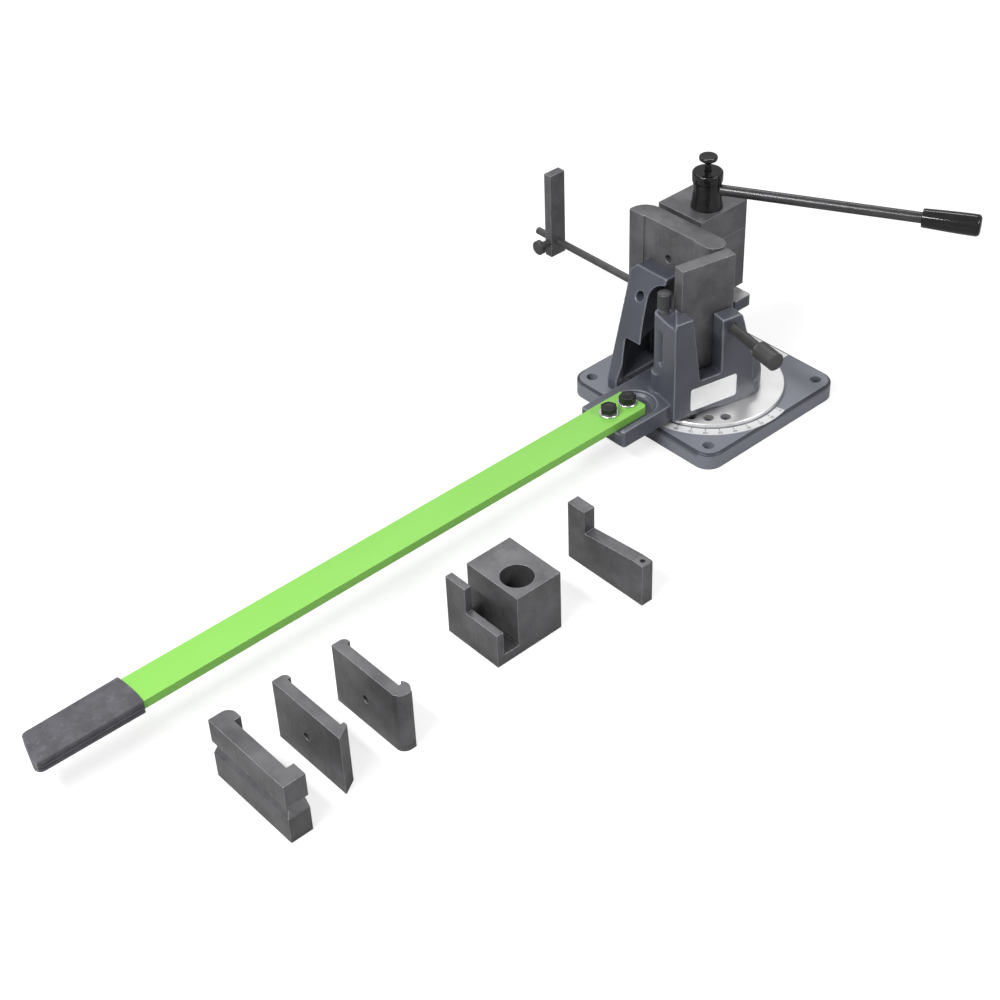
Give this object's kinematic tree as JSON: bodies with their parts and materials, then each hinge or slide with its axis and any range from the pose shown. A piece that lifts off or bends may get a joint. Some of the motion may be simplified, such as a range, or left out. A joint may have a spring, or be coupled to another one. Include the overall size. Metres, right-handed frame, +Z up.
{
  "type": "flat bar bender",
  "caption": "Bench bender for flat bar: a long lever swings a jaw round an upright die while an eccentric handle clamps the bar, with an angle scale, index pin, length stop and loose dies.",
  "frame": {"origin": "centre of the four bench bolt holes, on the underside of the base plate", "axes": "+X along the flat bar as it is fed through the clamp, +Y from the lever towards the clamp handle, +Z up"},
  "size_m": [0.515, 1.1087, 0.2725],
  "materials": {
    "cast_paint": "anthracite coat over a cast surface",
    "machined_steel": "turned bright",
    "black_oxide": "black oxide with brush marks",
    "fastener_black": "black fastener finish",
    "ground_pin": "ground, with a knurled head",
    "bronze": "plain bearing bronze",
    "white_film": "satin film",
    "lever_green": "semi-gloss coat",
    "grip_rubber": "matt, grooved",
    "gloss_black": "high gloss"
  },
  "bodies": {
    "base": {"base_plate": "cast_paint", "index_disc": "machined_steel", "disc_screws": "fastener_black", "angle_scale": "white_film", "blank_strip": "white_film", "pivot_bolt": "fastener_black", "pivot_washer": "machined_steel", "pivot_nut": "fastener_black", "bed_casting": "cast_paint", "bed_screws": "fastener_black", "die_plate": "black_oxide", "die_screw": "fastener_black", "stop_rod": "machined_steel"},
    "arm": {"pivot_bush": "bronze", "swing_arm": "cast_paint", "arm_label": "white_film", "lever_bar": "lever_green", "lever_bolts": "fastener_black", "lever_washers": "machined_steel", "lever_grip": "grip_rubber"},
    "jaw": {"jaw_plate": "black_oxide", "jaw_guide_pins": "machined_steel"},
    "screw": {"adjusting_screw": "fastener_black", "adjusting_knob": "fastener_black"},
    "pin": {"index_pin": "ground_pin"},
    "clamp": {"clamp_block": "black_oxide", "clamp_block_cap": "black_oxide", "cap_screws": "fastener_black", "guide_key": "machined_steel"},
    "eccentric": {"eccentric_shaft": "machined_steel", "eccentric_hub": "gloss_black", "handle_rod": "gloss_black", "handle_grip": "gloss_black"},
    "knob": {"hub_knob": "gloss_black"},
    "stop": {"stop_bar": "black_oxide"},
    "thumb": {"stop_thumbscrew": "fastener_black"},
    "groove_die": {"loose_groove_die": "black_oxide"},
    "wedge_die": {"loose_wedge_die": "black_oxide"},
    "round_die": {"loose_round_die": "black_oxide"},
    "ring_block": {"loose_ring_block": "black_oxide"},
    "angle_bar": {"loose_angle_bar": "black_oxide"}
  },
  "joints": [
    {"name": "arm_swing", "type": "hinge", "parent": "base", "child": "arm", "pos_m": [0.011, -0.004, 0.036], "axis": [0, 0, 1], "range_deg": [0, 105]},
    {"name": "jaw_slide", "type": "slide", "parent": "arm", "child": "jaw", "axis": [0.9781, -0.2079, 0], "range_m": [-0.0035, 0]},
    {"name": "screw_turn", "type": "hinge", "parent": "jaw", "child": "screw", "pos_m": [0.05454, -0.02041, 0.1285], "axis": [0.9781, -0.2079, 0], "range_deg": [-720, 0]},
    {"name": "index_pin_slide", "type": "slide", "parent": "arm", "child": "pin", "axis": [0, 0, 1], "range_m": [-0.005, 0]},
    {"name": "clamp_slide", "type": "slide", "parent": "base", "child": "clamp", "axis": [0, 1, 0], "range_m": [-0.0075, 0]},
    {"name": "cam_lever", "type": "hinge", "parent": "base", "child": "eccentric", "pos_m": [-0.05, 0.049, 0.209], "axis": [0, 0, 1], "range_deg": [-90, 0]},
    {"name": "hub_knob_lift", "type": "slide", "parent": "eccentric", "child": "knob", "axis": [0, 0, 1], "range_m": [0, 0.006], "stiffness_N_per_m": 600},
    {"name": "stop_slide", "type": "slide", "parent": "base", "child": "stop", "axis": [1, 0, 0], "range_m": [-0.02, 0.14]},
    {"name": "thumbscrew_turn", "type": "hinge", "parent": "stop", "child": "thumb", "pos_m": [-0.2655, -0.004, 0.088], "axis": [0, -1, 0], "range_deg": [-90, 0]},
    {"name": "groove_die_lift", "type": "slide", "parent": "arm", "child": "groove_die", "axis": [0, 0, 1], "range_m": [0, 0.1]},
    {"name": "wedge_die_lift", "type": "slide", "parent": "arm", "child": "wedge_die", "axis": [0, 0, 1], "range_m": [0, 0.1]},
    {"name": "round_die_lift", "type": "slide", "parent": "arm", "child": "round_die", "axis": [0, 0, 1], "range_m": [0, 0.1]},
    {"name": "ring_block_lift", "type": "slide", "parent": "arm", "child": "ring_block", "axis": [0, 0, 1], "range_m": [0, 0.1]},
    {"name": "angle_bar_lift", "type": "slide", "parent": "arm", "child": "angle_bar", "axis": [0, 0, 1], "range_m": [0, 0.1]}
  ],
  "couplings": [
    {"joint": "clamp_slide", "follows": "cam_lever", "m_per_rad": 0.004774},
    {"joint": "screw_turn", "follows": "jaw_slide", "rad_per_m": 3590.4}
  ]
}
